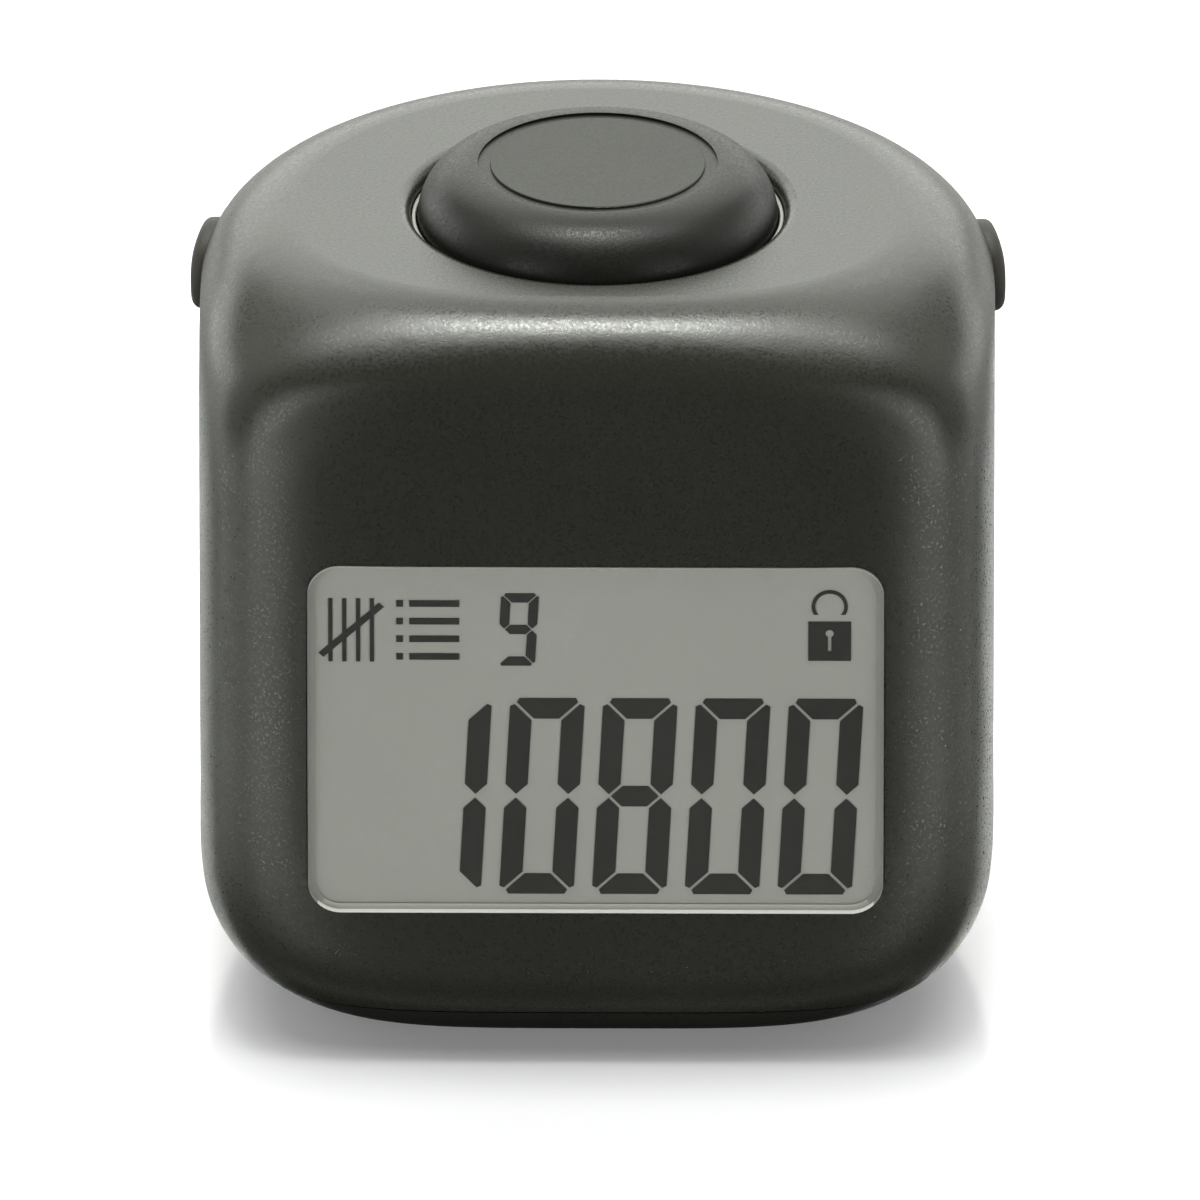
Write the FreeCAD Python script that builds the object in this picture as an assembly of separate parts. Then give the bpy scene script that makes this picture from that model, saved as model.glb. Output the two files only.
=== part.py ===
"""Electronic hand tally counter: a rounded pocket case with a thumb button on top, a liquid crystal display
in front, a small key on each side and a coin-cell door underneath.

Millimetres. +Z is up and the display faces -Y. The origin is under the middle of the case, on the surface that
it rests on. Each function builds one physical piece, or one group of identical pieces, about the axis of the
thumb button; save() then moves it to the origin.
"""
import FreeCAD
import Part
import math
import os

Vector = FreeCAD.Vector
X_AXIS = Vector(1, 0, 0)
Y_AXIS = Vector(0, 1, 0)
Z_AXIS = Vector(0, 0, 1)

# Case, outside.
HALF_WIDTH = 19.0
FRONT = 14.5  # from the button's axis to the display face
BACK = 18.2
HEIGHT = 38.7
WALL = 1.8
TOP_WALL = 2.0
SEAM_Z = 2.4  # the case parts into shell and base cover here
SEAM_GAP = 0.12
LIP_TOP = 5.0  # top of the base cover's lip inside the shell
BASE_STEP = 0.12  # the base cover stands back from the shell by this much
TOP_RADII = {"side": 4.6, "front": 3.8, "back": 4.9}
FOOT_RADII = {"side": 8.0, "front": 5.2, "back": 6.8}
# How square the plan is: 2 is an ellipse, and larger is squarer. At the foot, the middle and the top.
FRONT_SQUARENESS = (4.3, 7.0, 2.6)
BACK_SQUARENESS = (2.6, 2.3, 2.0)
FOOT_BLEND = 0.35  # share of the height over which the foot's plan turns into the middle's
TOP_BLEND = 0.76  # share of the height above which the plan turns into the top's
PLAN_POINTS = 72
EDGE_STEPS = 9
WALL_STEPS = 9

# Thumb button and its well.
WELL_R = 8.95
WELL_LIP_R = 0.6
BUTTON_R = 8.62
BUTTON_TOP = HEIGHT + 2.15
BUTTON_SHOULDER_R = 2.8
BUTTON_CAP = 1.9  # thickness of the button's top
BUTTON_WALL = 1.4
RECESS_R = 5.74
RECESS_DEPTH = 0.12
INLAY_R = 5.14
RING_INNER_R = 8.7
RING_OUTER_R = 8.9
RING_TOP = HEIGHT - 0.65
RING_BOTTOM = 34.9
RING_FLANGE_R = 10.8
RING_FLANGE = 1.0
STOP_FLANGE_R = 10.2
STOP_FLANGE = 0.8
POST_R = 2.4

# Button board, with its rubber dome.
BOARD_TOP = 31.2
BOARD = 1.0
BOARD_GAP = 0.5
BOARD_FRONT = -7.9
BOARD_BOSSES = ((11.2, -6.7), (8.0, 11.8))
BOSS_R = 1.8
DOME_TOP = 33.6
DOME_FOOT_R = 6.0
PILL_R = 1.4
PILL_BOTTOM = 32.3
PILL_TOP = 33.1
PAD_R = 2.2
PAD = 0.03
PAD_GAP = 0.4
HEADER_PIN_R = 0.28
HEADER_Y = -6.6
HEADER_Z = 29.3

# Side keys and their switches.
KEY_Y = 4.0
KEY_Z = 33.7
KEY_R = 2.2
KEY_HOLE_R = 2.28
KEY_PROUD = 0.6
KEY_EDGE_R = 0.45
KEY_FLANGE_R = 2.8
KEY_FLANGE = 0.5
KEY_STOP_X = 15.3  # the key's flange rests against the end of its guide sleeve here
KEY_SLEEVE_R = 3.1
SWITCH_FACE_X = 13.9
SWITCH_DEPTH = 2.5
SWITCH_WIDTH = 6.0
SWITCH_TOP = 35.2
PLUNGER_R = 0.9
PLUNGER_ROOT = 0.6  # hidden length of the plunger inside the switch

# Display.
WINDOW_WIDTH = 27.6
WINDOW_LOW = 8.0
WINDOW_HIGH = 26.3
WINDOW_CORNER_R = 1.65
LENS_GAP = 0.06
LENS_FACE = -FRONT - 0.08
LENS = 0.15
UPPER_GLASS_FACE = LENS_FACE + LENS
UPPER_GLASS = 0.3
SEGMENT = 0.05
LOWER_GLASS = 1.33
REFLECTOR = 0.15
CELL_HALF_WIDTH = 13.7
CELL_BOTTOM = 8.08
CELL_CORNER_R = 1.55
UPPER_GLASS_HIGH = 26.22
LEDGE_HIGH = 28.6  # the lower glass stands above the window, for the flexible tail
POCKET_GAP = 0.1
FLEX = 0.1
FLEX_HALF_WIDTH = 9.5
FLEX_LOW = 27.0
FRAME_FACE = -12.6
FRAME_HALF_WIDTH = 14.9
FRAME_LOW = 6.4
FRAME_HIGH = 29.8
FRAME_GAP = 0.1

# Main board.
PCB_FACE = -9.4
PCB = 1.0
PCB_HALF_WIDTH = 15.3
PCB_LOW = 6.4
PCB_HIGH = 29.9
RAIL_HALF_WIDTH = 14.2
RIB = 1.0

# Coin cell, its cup and the door.
CELL_Y = 0.9
CELL_R = 8.0
CELL_LOW = 1.4
CELL_HIGH = 4.6
CUP_R = 8.4
CUP_WALL = 1.2
CUP_CEILING = 5.2
CUP_TOP = 6.2
DOOR_R = 8.9
DOOR_LOW = 0.25
DOOR_HIGH = 1.35
DOOR_HOLE_R = 9.0
DOOR_TURN = 45.0
LUG_R = 9.9
LUG_HALF_ANGLE = 11.0
LUG = 0.6
SEAL_R = 0.25
CONTACT = 0.25  # sheet thickness
CONTACT_REACH = 5.6
CONTACT_TAB_TOP = 8.0
BASE_FLOOR = 1.85

# Base screws and the bosses that they run into.
BASE_SCREWS = ((13.6, -4.6), (10.2, 10.6))
BASE_BOSS_R = 2.3
BASE_BOSS_JOINT = 4.4  # cover boss below, shell boss above
BASE_BOSS_TOP = 12.0
SCREW_SHANK_R = 0.8
SCREW_HEAD_R = 1.5
SCREW_HEAD = 0.8
SCREW_SEAT = 2.2
SCREW_TIP = 10.0
COUNTERBORE_R = 1.65

# Leads from the cell's contacts to the main board.
LEAD_R = 0.4
LEAD_X = 8.5
LEAD_Z = 15.5
LEAD_END = PCB_FACE + PCB

# Segmented digits, seen from the front.
SLANT = 0.054  # sideways lean per unit of height
DIGIT_HEIGHT = 10.3
DIGIT_WIDTH = 3.55
DIGIT_STROKE = 1.06
DIGIT_GAP = 0.11
DIGIT_PITCH = 4.43
DIGIT_LOW = 8.88
LAST_DIGIT_X = 10.45
SMALL_HEIGHT = 3.78
SMALL_WIDTH = 1.8
SMALL_STROKE = 0.46
SMALL_GAP = 0.06
SMALL_X = -3.8
ICON_LOW = 20.9
SEGMENTS_OF = {"0": "abcdef", "1": "bc", "8": "abcdefg", "9": "abcdfg"}


def box(x0, x1, y0, y1, z0, z1):
    return Part.makeBox(x1 - x0, y1 - y0, z1 - z0, Vector(x0, y0, z0))


def cylinder(radius, z0, z1, x=0.0, y=0.0):
    return Part.makeCylinder(radius, z1 - z0, Vector(x, y, z0))


def tube(inner, outer, z0, z1, x=0.0, y=0.0):
    return cylinder(outer, z0, z1, x, y).cut(cylinder(inner, z0 - 1, z1 + 1, x, y))


def revolve(points, x=0.0, y=0.0):
    """Solid of revolution about a vertical axis. A point is (radius, z); a triple of points is an arc."""
    edges = []
    corners = []
    for item in points:
        if len(item) == 3:
            edges.append(Part.Arc(*[Vector(r, 0, z) for r, z in item]).toShape())
            corners += [item[0], item[2]]
        else:
            corners.append(item)
    loop = corners + corners[:1]
    arcs = [(item[0], item[2]) for item in points if len(item) == 3]
    for start, end in zip(loop, loop[1:]):
        if (start, end) not in arcs and start != end:
            edges.append(Part.makeLine(Vector(start[0], 0, start[1]), Vector(end[0], 0, end[1])))
    face = Part.Face(Part.Wire(Part.__sortEdges__(edges)))
    solid = face.revolve(Vector(0, 0, 0), Z_AXIS, 360)
    solid.translate(Vector(x, y, 0))
    return solid


def quarter(centre_r, centre_z, radius):
    """Arc from straight above a centre down to straight outside it."""
    half = radius * math.sqrt(0.5)
    return ((centre_r, centre_z + radius), (centre_r + half, centre_z + half), (centre_r + radius, centre_z))


def mirrored(shape):
    return shape.mirror(Vector(0, 0, 0), X_AXIS)


def group(shapes):
    return Part.makeCompound(shapes)


def fused(shapes):
    return shapes[0].multiFuse(shapes[1:]).removeSplitter()


def each_corner(places):
    """Places given for +X, repeated for -X."""
    return [(sign * x, y) for x, y in places for sign in (1, -1)]


# Case shape. Every horizontal section is a flattened superellipse, so that the foot and the top are rounder
# than the middle, where the display needs a flat face.
def smooth(share):
    share = min(max(share, 0.0), 1.0)
    return share * share * (3 - 2 * share)


def squareness(z, values):
    foot, middle, top = values
    share = z / HEIGHT
    risen = (middle - foot) * smooth(share / FOOT_BLEND)
    topped = (top - middle) * smooth((share - TOP_BLEND) / (1 - TOP_BLEND))
    return foot + risen + topped


def edge_inset(z, low, high, foot_r, top_r):
    """How far the rounded foot or top edge pulls the wall in at height z."""
    depth = 0.0
    radius = foot_r
    if z < low + foot_r:
        depth = low + foot_r - z
    elif z > high - top_r:
        depth = z - (high - top_r)
        radius = top_r
    return radius - math.sqrt(max(radius * radius - depth * depth, 0.0))


def section(z, offset, low, high):
    """Points round the case at height z, pulled in by offset."""
    reach = {}
    for name, size in (("side", HALF_WIDTH), ("front", FRONT), ("back", BACK)):
        inset = edge_inset(z, low, high, FOOT_RADII[name] - offset, TOP_RADII[name] - offset)
        reach[name] = size - offset - inset
    points = []
    for i in range(PLAN_POINTS):
        angle = math.pi / 2 + 2 * math.pi * i / PLAN_POINTS
        c, s = math.cos(angle), math.sin(angle)
        n = squareness(z, BACK_SQUARENESS if s > 0 else FRONT_SQUARENESS)
        r = (abs(c) ** n + abs(s) ** n) ** (-1 / n)
        points.append(Vector(reach["side"] * r * c, reach["back" if s > 0 else "front"] * r * s, z))
    return points


def section_heights(offset, low, high):
    foot = max(FOOT_RADII.values()) - offset
    top = max(TOP_RADII.values()) - offset
    turns = [math.pi / 2 * i / EDGE_STEPS for i in range(EDGE_STEPS + 1)]
    rise = [low + foot * (1 - math.cos(t)) for t in turns]
    fall = [high - top * (1 - math.cos(t)) for t in reversed(turns)]
    gap = (fall[0] - rise[-1]) / WALL_STEPS
    return rise + [rise[-1] + gap * i for i in range(1, WALL_STEPS)] + fall


def case_solid(offset, low, high):
    """The case's outer shape pulled in by offset, from height low to height high, as one smooth skin."""
    sections = [section(z, offset, low, high) for z in section_heights(offset, low, high)]
    side = PLAN_POINTS // 4
    lengths = [0.0]
    for lower, upper in zip(sections, sections[1:]):
        lengths.append(lengths[-1] + lower[side].distanceToPoint(upper[side]))
    heights = [length / lengths[-1] for length in lengths]
    turns = [i / PLAN_POINTS for i in range(PLAN_POINTS + 1)]
    rings = []
    for points in sections:
        ring = Part.BSplineCurve()
        ring.interpolate(Points=points, PeriodicFlag=True, Parameters=turns)
        rings.append(ring)
    columns = []
    for poles in zip(*[ring.getPoles() for ring in rings]):
        column = Part.BSplineCurve()
        column.interpolate(Points=list(poles), Parameters=heights)
        columns.append(column)
    skin = Part.BSplineSurface()
    skin.buildFromPolesMultsKnots(
        [column.getPoles() for column in columns],
        rings[0].getMultiplicities(),
        columns[0].getMultiplicities(),
        rings[0].getKnots(),
        columns[0].getKnots(),
        True,
        False,
        3,
        3,
    )
    side_face = skin.toShape()
    rims = [e for e in side_face.Edges if e.BoundBox.ZLength < 1e-6]
    faces = [side_face] + [Part.Face(Part.Wire(rim)) for rim in rims]
    shell = Part.Shell(faces)
    shell.sewShape()
    solid = Part.Solid(shell)
    if solid.Volume < 0:
        solid.reverse()
    return solid


def slab(shape, low, high):
    """The part of a shape between two heights."""
    reach = 3 * HALF_WIDTH
    return shape.common(box(-reach, reach, -reach, reach, low, high))


def rounded_plate(half_width, low, high, corner_r, y0, y1):
    """Upright plate with rounded corners, facing -Y."""
    plate = box(-half_width, half_width, y0, y1, low, high)
    upright = [e for e in plate.Edges if e.BoundBox.YLength > (y1 - y0) * 0.99]
    return plate.makeFillet(corner_r, upright)


def along_x(radius, x0, x1):
    """Cylinder on a side key's axis."""
    return Part.makeCylinder(radius, x1 - x0, Vector(x0, KEY_Y, KEY_Z), X_AXIS)


# Case pieces.
def well_cutter():
    lip = HEIGHT - WELL_LIP_R
    reach = WELL_LIP_R * (1 - math.sqrt(0.5))
    arc = (
        (WELL_R, lip),
        (WELL_R + reach, HEIGHT - reach),
        (WELL_R + WELL_LIP_R, HEIGHT),
    )
    above = HEIGHT + 1
    outline = [(0, RING_BOTTOM), (WELL_R, RING_BOTTOM), arc, (WELL_R + WELL_LIP_R, above), (0, above)]
    return revolve(outline)


def main_shell():
    outside = slab(case_solid(0.0, 0.0, HEIGHT), SEAM_Z, HEIGHT + 1)
    inside = case_solid(WALL, WALL, HEIGHT - TOP_WALL)
    posts = [cylinder(BOSS_R, BOARD_TOP, HEIGHT - 1, x, y) for x, y in each_corner(BOARD_BOSSES)]
    for x, y in each_corner(BASE_SCREWS):
        posts.append(cylinder(BASE_BOSS_R, BASE_BOSS_JOINT, BASE_BOSS_TOP, x, y))
    for x, y in BASE_SCREWS:
        rib = box(x, HALF_WIDTH, y - RIB / 2, y + RIB / 2, LIP_TOP + 0.2, BASE_BOSS_TOP)
        posts += [rib, mirrored(rib)]
    rail_y = PCB_FACE + PCB
    rail = box(RAIL_HALF_WIDTH, HALF_WIDTH, rail_y, rail_y + RIB, BASE_BOSS_TOP, PCB_HIGH)
    sleeve = along_x(KEY_SLEEVE_R, KEY_STOP_X, HALF_WIDTH)
    fittings = fused(posts + [rail, mirrored(rail), sleeve, mirrored(sleeve)])
    shell = outside.cut(inside).fuse(outside.common(fittings))
    key_hole = along_x(KEY_HOLE_R, KEY_STOP_X - 1, HALF_WIDTH + 1)
    key_relief = along_x(KEY_FLANGE_R + POCKET_GAP, SWITCH_FACE_X - 1, KEY_STOP_X)
    side = CELL_HALF_WIDTH + POCKET_GAP
    tail = FLEX_HALF_WIDTH + POCKET_GAP
    middle = (WINDOW_LOW + WINDOW_HIGH) / 2
    ledge = box(-side, side, lower_glass_face(), FRAME_FACE, middle, LEDGE_HIGH + POCKET_GAP)
    tail_room = box(-tail, tail, lower_glass_face() - FLEX, PCB_FACE, FLEX_LOW - 0.5, LEDGE_HIGH + 3 * FLEX)
    pocket = ledge.fuse(tail_room)
    frame_room = box(
        -FRAME_HALF_WIDTH - FRAME_GAP,
        FRAME_HALF_WIDTH + FRAME_GAP,
        FRAME_FACE,
        PCB_FACE,
        FRAME_LOW - FRAME_GAP,
        FRAME_HIGH + FRAME_GAP,
    )
    window = rounded_plate(
        WINDOW_WIDTH / 2, WINDOW_LOW, WINDOW_HIGH, WINDOW_CORNER_R, -FRONT - 1, FRAME_FACE
    )
    pilots = [cylinder(SCREW_SHANK_R, SEAM_Z, SCREW_TIP, x, y) for x, y in each_corner(BASE_SCREWS)]
    pilots += [
        cylinder(SCREW_SHANK_R, BOARD_TOP - 1, BOARD_TOP + 4, x, y) for x, y in each_corner(BOARD_BOSSES)
    ]
    cutters = [well_cutter(), key_hole, mirrored(key_hole), key_relief, mirrored(key_relief)]
    return shell.cut(cutters + [pocket, frame_room, window] + pilots)


def base_cover():
    outside = slab(case_solid(BASE_STEP, 0.0, HEIGHT - BASE_STEP), -1, SEAM_Z - SEAM_GAP)
    lip = slab(case_solid(WALL + 0.1, WALL, HEIGHT - TOP_WALL), SEAM_Z - 0.5, LIP_TOP)
    cup = cylinder(CUP_R + CUP_WALL, 1, CUP_TOP, 0, CELL_Y)
    bulk = outside.fuse(lip).fuse(cup)
    cavity = case_solid(WALL + 1.0, BASE_FLOOR, HEIGHT - TOP_WALL)
    bosses = [cylinder(BASE_BOSS_R, 0, BASE_BOSS_JOINT, x, y) for x, y in each_corner(BASE_SCREWS)]
    base = bulk.cut(cavity.cut(bosses + [cup]))
    tab_y = CELL_Y + CONTACT_REACH
    cutters = [
        cylinder(CUP_R, BASE_FLOOR - 0.1, CUP_CEILING, 0, CELL_Y),
        cylinder(DOOR_HOLE_R, -1, BASE_FLOOR, 0, CELL_Y),
        box(-1.6, 1.6, tab_y - 0.3, tab_y + 0.05, CUP_CEILING - 0.1, CUP_TOP + 0.1),
        positive_slot(),
        lug_track(),
    ]
    for x, y in each_corner(BASE_SCREWS):
        cutters.append(cylinder(COUNTERBORE_R, -1, SCREW_SEAT, x, y))
        cutters.append(cylinder(SCREW_SHANK_R, 0, BASE_BOSS_JOINT + 1, x, y))
        cutters.append(cylinder(BASE_BOSS_R + 0.15, BASE_BOSS_JOINT, CUP_TOP, x, y))
    for cutter in cutters:
        base = base.cut(cutter)
    return base


def sector(inner, outer, z0, z1, middle, half_angle):
    """Piece of a ring round the cell's axis, centred on an angle in degrees."""
    ring = Part.makeCylinder(
        outer, z1 - z0, Vector(0, CELL_Y, z0), Z_AXIS, 2 * half_angle
    )
    ring.rotate(Vector(0, CELL_Y, 0), Z_AXIS, middle - half_angle)
    return ring.cut(cylinder(inner, z0 - 1, z1 + 1, 0, CELL_Y))


def lug_track():
    """Room for the door's two lugs: a track to turn in and, at its far end, a notch down to the outside."""
    cuts = []
    play = 1.5
    sweep = (DOOR_TURN + 2 * LUG_HALF_ANGLE) / 2 + play
    inner = DOOR_HOLE_R - 0.5
    for start in (0, 180):
        middle = start - DOOR_TURN / 2
        cuts.append(sector(inner, LUG_R + 0.1, DOOR_HIGH - LUG - 0.1, DOOR_HIGH + 0.1, middle, sweep))
        cuts.append(
            sector(inner, LUG_R + 0.1, -1, DOOR_HIGH, start - DOOR_TURN, LUG_HALF_ANGLE + play)
        )
    return fused(cuts)


def battery_door():
    door = cylinder(DOOR_R, DOOR_LOW, DOOR_HIGH, 0, CELL_Y)
    lowest = [e for e in door.Edges if abs(e.BoundBox.ZMax - DOOR_LOW) < 1e-6]
    door = door.makeChamfer(0.2, lowest)
    lugs = [sector(DOOR_R - 0.5, LUG_R, DOOR_HIGH - LUG, DOOR_HIGH, a, LUG_HALF_ANGLE) for a in (0, 180)]
    door = fused([door] + lugs)
    slot = Part.makeBox(14, 1.9, 0.75, Vector(-7, CELL_Y - 0.95, DOOR_LOW - 0.1))
    ends = [cylinder(0.95, DOOR_LOW - 0.1, DOOR_LOW + 0.65, x, CELL_Y) for x in (-7, 7)]
    dimple = cylinder(0.5, DOOR_LOW - 0.1, DOOR_LOW + 0.2, 0, CELL_Y - 8.6)
    return door.cut([slot, dimple] + ends)


def door_seal():
    ring = Part.makeTorus((CUP_R + DOOR_HOLE_R) / 2, SEAL_R, Vector(0, CELL_Y, DOOR_HIGH + SEAL_R), Z_AXIS)
    return ring


def coin_cell():
    can = CELL_R
    cap = CELL_R - 1.1
    outline = [
        (0, CELL_LOW),
        (can - 0.4, CELL_LOW),
        ((can - 0.4, CELL_LOW), (can - 0.117, CELL_LOW + 0.117), (can, CELL_LOW + 0.4)),
        (can, CELL_HIGH - 0.3),
        (cap, CELL_HIGH - 0.3),
        (cap, CELL_HIGH),
        (0, CELL_HIGH),
    ]
    return revolve(outline, 0, CELL_Y)


def negative_contact():
    """Leaf under the cup's ceiling: a flat strip, a sprung tongue that meets the cell, and a solder tab."""
    back = CELL_Y + CONTACT_REACH
    root = CELL_Y - 1.5
    low, high = CELL_HIGH, CUP_CEILING - CONTACT
    strip = box(-1.5, 1.5, root, back, high, CUP_CEILING)
    tip = CELL_Y - CONTACT_REACH
    corners = [(root, high), (root, high + CONTACT), (tip, low + CONTACT), (tip, low)]
    wire = Part.makePolygon([Vector(-1.5, y, z) for y, z in corners + corners[:1]])
    tongue = Part.Face(wire).extrude(Vector(3, 0, 0))
    tab = box(-1.5, 1.5, back - CONTACT, back, high, CONTACT_TAB_TOP)
    return fused([strip, tongue, tab])


def positive_slot():
    return sector(CUP_R - 0.4, CUP_R, CUP_CEILING - 0.1, CUP_TOP + 0.1, 55, 8.5)


def positive_contact():
    """Sprung strip up the cup's wall against the cell's rim, with a solder tab through the ceiling."""
    strip = sector(CELL_R + 0.02, CELL_R + 0.3, 2.2, CUP_CEILING, 55, 16)
    tab = sector(CELL_R + 0.02, CELL_R + 0.3, CUP_CEILING, CONTACT_TAB_TOP, 55, 8)
    return fused([strip, tab])


def base_screw(x, y):
    head = cylinder(SCREW_HEAD_R, SCREW_SEAT - SCREW_HEAD, SCREW_SEAT, x, y)
    lowest = [e for e in head.Edges if abs(e.BoundBox.ZMax - (SCREW_SEAT - SCREW_HEAD)) < 1e-6]
    head = head.makeFillet(0.3, lowest)
    shank = cylinder(SCREW_SHANK_R, SCREW_SEAT - 0.1, SCREW_TIP - 0.5, x, y)
    low = SCREW_SEAT - SCREW_HEAD
    bits = [box(x - 0.8, x + 0.8, y - 0.16, y + 0.16, low - 1, low + 0.45)]
    bits.append(box(x - 0.16, x + 0.16, y - 0.8, y + 0.8, low - 1, low + 0.45))
    return head.fuse(shank).removeSplitter().cut(bits)


def base_screws():
    return group([base_screw(x, y) for x, y in each_corner(BASE_SCREWS)])


# Thumb button and what it works.
def count_button():
    shoulder_z = BUTTON_TOP - BUTTON_SHOULDER_R
    shoulder = quarter(BUTTON_R - BUTTON_SHOULDER_R, shoulder_z, BUTTON_SHOULDER_R)
    ceiling = BUTTON_TOP - BUTTON_CAP
    flange_low = RING_BOTTOM - STOP_FLANGE
    inner = BUTTON_R - BUTTON_WALL
    outline = [
        (0, BUTTON_TOP - RECESS_DEPTH),
        (RECESS_R, BUTTON_TOP - RECESS_DEPTH),
        (RECESS_R, BUTTON_TOP),
        shoulder,
        (BUTTON_R, RING_BOTTOM),
        (STOP_FLANGE_R, RING_BOTTOM),
        (STOP_FLANGE_R, flange_low),
        (inner, flange_low),
        (inner, ceiling - 1.2),
        ((inner, ceiling - 1.2), (inner - 0.351, ceiling - 0.351), (inner - 1.2, ceiling)),
        (POST_R, ceiling),
        (POST_R, DOME_TOP),
        (0, DOME_TOP),
    ]
    return revolve(outline)


def button_inlay():
    disc = cylinder(INLAY_R, BUTTON_TOP - RECESS_DEPTH, BUTTON_TOP)
    top = [e for e in disc.Edges if abs(e.BoundBox.ZMin - BUTTON_TOP) < 1e-6]
    return disc.makeFillet(0.06, top)


def button_guide_ring():
    under = HEIGHT - TOP_WALL
    sleeve = tube(RING_INNER_R, RING_OUTER_R, RING_BOTTOM, RING_TOP)
    top = [e for e in sleeve.Edges if abs(e.BoundBox.ZMin - RING_TOP) < 1e-6]
    sleeve = sleeve.makeFillet(0.06, top)
    flange = tube(RING_INNER_R, RING_FLANGE_R, under - RING_FLANGE, under)
    return fused([sleeve, flange])


def silicone_dome():
    wall = 0.55
    outline = [
        (0, PILL_TOP),
        (2.0, PILL_TOP),
        (4.3 - wall, BOARD_TOP + 0.3),
        (4.3 - wall, BOARD_TOP),
        (DOME_FOOT_R, BOARD_TOP),
        (DOME_FOOT_R, BOARD_TOP + 0.6),
        (4.3, BOARD_TOP + 0.6),
        (POST_R + 0.2, DOME_TOP),
        (0, DOME_TOP),
    ]
    return revolve(outline)


def contact_pill():
    return cylinder(PILL_R, PILL_BOTTOM, PILL_TOP)


def contact_pads():
    disc = cylinder(PAD_R, BOARD_TOP, BOARD_TOP + PAD)
    reach = PAD_R + 1
    half = disc.common(box(PAD_GAP / 2, reach, -reach, reach, BOARD_TOP, BOARD_TOP + PAD))
    return group([half, mirrored(half)])


def header_pins():
    """Bent pins that carry the button board's signals down to the main board."""
    pins = []
    for i in range(5):
        corner = Vector(2.0 * (i - 2), HEADER_Y, HEADER_Z)
        upright = cylinder(HEADER_PIN_R, HEADER_Z, BOARD_TOP + 0.8, corner.x, corner.y)
        level = Part.makeCylinder(HEADER_PIN_R, HEADER_Y - PCB_FACE, corner, Vector(0, -1, 0))
        elbow = Part.makeSphere(HEADER_PIN_R, corner)
        pins.append(fused([upright, level, elbow]))
    return group(pins)


def header_block():
    top = BOARD_TOP - BOARD
    block = box(-5.2, 5.2, HEADER_Y - 0.9, HEADER_Y + 0.9, top - 1.35, top)
    return block.cut(header_pins())


def button_board():
    inset = WALL + BOARD_GAP
    plan = slab(case_solid(inset, inset, HEIGHT - TOP_WALL), BOARD_TOP - BOARD, BOARD_TOP)
    plan = plan.common(box(-HALF_WIDTH, HALF_WIDTH, BOARD_FRONT, BACK, BOARD_TOP - BOARD, BOARD_TOP))
    corners = each_corner(BOARD_BOSSES)
    holes = [cylinder(SCREW_SHANK_R, BOARD_TOP - 2, BOARD_TOP + 1, x, y) for x, y in corners]
    notch = box(SWITCH_FACE_X + 0.3, HALF_WIDTH, KEY_Y - KEY_SLEEVE_R, KEY_Y + KEY_SLEEVE_R, 0, HEIGHT)
    return plan.cut(holes + [notch, mirrored(notch), header_pins()])


def board_screws():
    low = BOARD_TOP - BOARD
    made = []
    for x, y in each_corner(BOARD_BOSSES):
        head = cylinder(SCREW_HEAD_R, low - SCREW_HEAD, low, x, y)
        lowest = [e for e in head.Edges if abs(e.BoundBox.ZMax - (low - SCREW_HEAD)) < 1e-6]
        head = head.makeFillet(0.3, lowest)
        shank = cylinder(SCREW_SHANK_R, low - 0.1, BOARD_TOP + 3.6, x, y)
        cross = [
            box(x - 0.8, x + 0.8, y - 0.16, y + 0.16, low - SCREW_HEAD - 1, low - SCREW_HEAD + 0.45),
            box(x - 0.16, x + 0.16, y - 0.8, y + 0.8, low - SCREW_HEAD - 1, low - SCREW_HEAD + 0.45),
        ]
        made.append(head.fuse(shank).removeSplitter().cut(cross))
    return group(made)


# Side keys, built at +X.
def side_key():
    """Key whose face follows the case, proud of it, with a stop flange inside."""
    stem = along_x(KEY_R, KEY_STOP_X, HALF_WIDTH + 3)
    proud = case_solid(-KEY_PROUD, -KEY_PROUD, HEIGHT + KEY_PROUD)
    key = stem.common(proud)
    rim = [e for e in key.Edges if e.BoundBox.XMin > KEY_STOP_X + 1 and e.Length > 2 * KEY_R]
    key = key.makeFillet(KEY_EDGE_R, rim)
    flange = along_x(KEY_FLANGE_R, KEY_STOP_X - KEY_FLANGE, KEY_STOP_X)
    return fused([key, flange])


def switch_body():
    x0 = SWITCH_FACE_X - SWITCH_DEPTH
    body = box(x0, SWITCH_FACE_X, KEY_Y - SWITCH_WIDTH / 2, KEY_Y + SWITCH_WIDTH / 2, BOARD_TOP, SWITCH_TOP)
    upright = [e for e in body.Edges if e.BoundBox.ZLength > 3]
    body = body.makeFillet(0.3, upright)
    return body.cut(along_x(PLUNGER_R + 0.05, SWITCH_FACE_X - PLUNGER_ROOT - 0.6, SWITCH_FACE_X + 1))


def switch_shield():
    """Pressed steel frame over a switch: a top plate and two cheeks."""
    sheet = 0.2
    x0, x1 = SWITCH_FACE_X - SWITCH_DEPTH + 0.2, SWITCH_FACE_X - 0.2
    y0, y1 = KEY_Y - SWITCH_WIDTH / 2, KEY_Y + SWITCH_WIDTH / 2
    top = box(x0, x1, y0 - sheet, y1 + sheet, SWITCH_TOP, SWITCH_TOP + sheet)
    near = box(x0, x1, y0 - sheet, y0, BOARD_TOP, SWITCH_TOP)
    far = box(x0, x1, y1, y1 + sheet, BOARD_TOP, SWITCH_TOP)
    return fused([top, near, far])


def switch_plunger():
    return along_x(PLUNGER_R, SWITCH_FACE_X - PLUNGER_ROOT, KEY_STOP_X - KEY_FLANGE)


# Display.
def lower_glass_face():
    return UPPER_GLASS_FACE + UPPER_GLASS + SEGMENT


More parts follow.
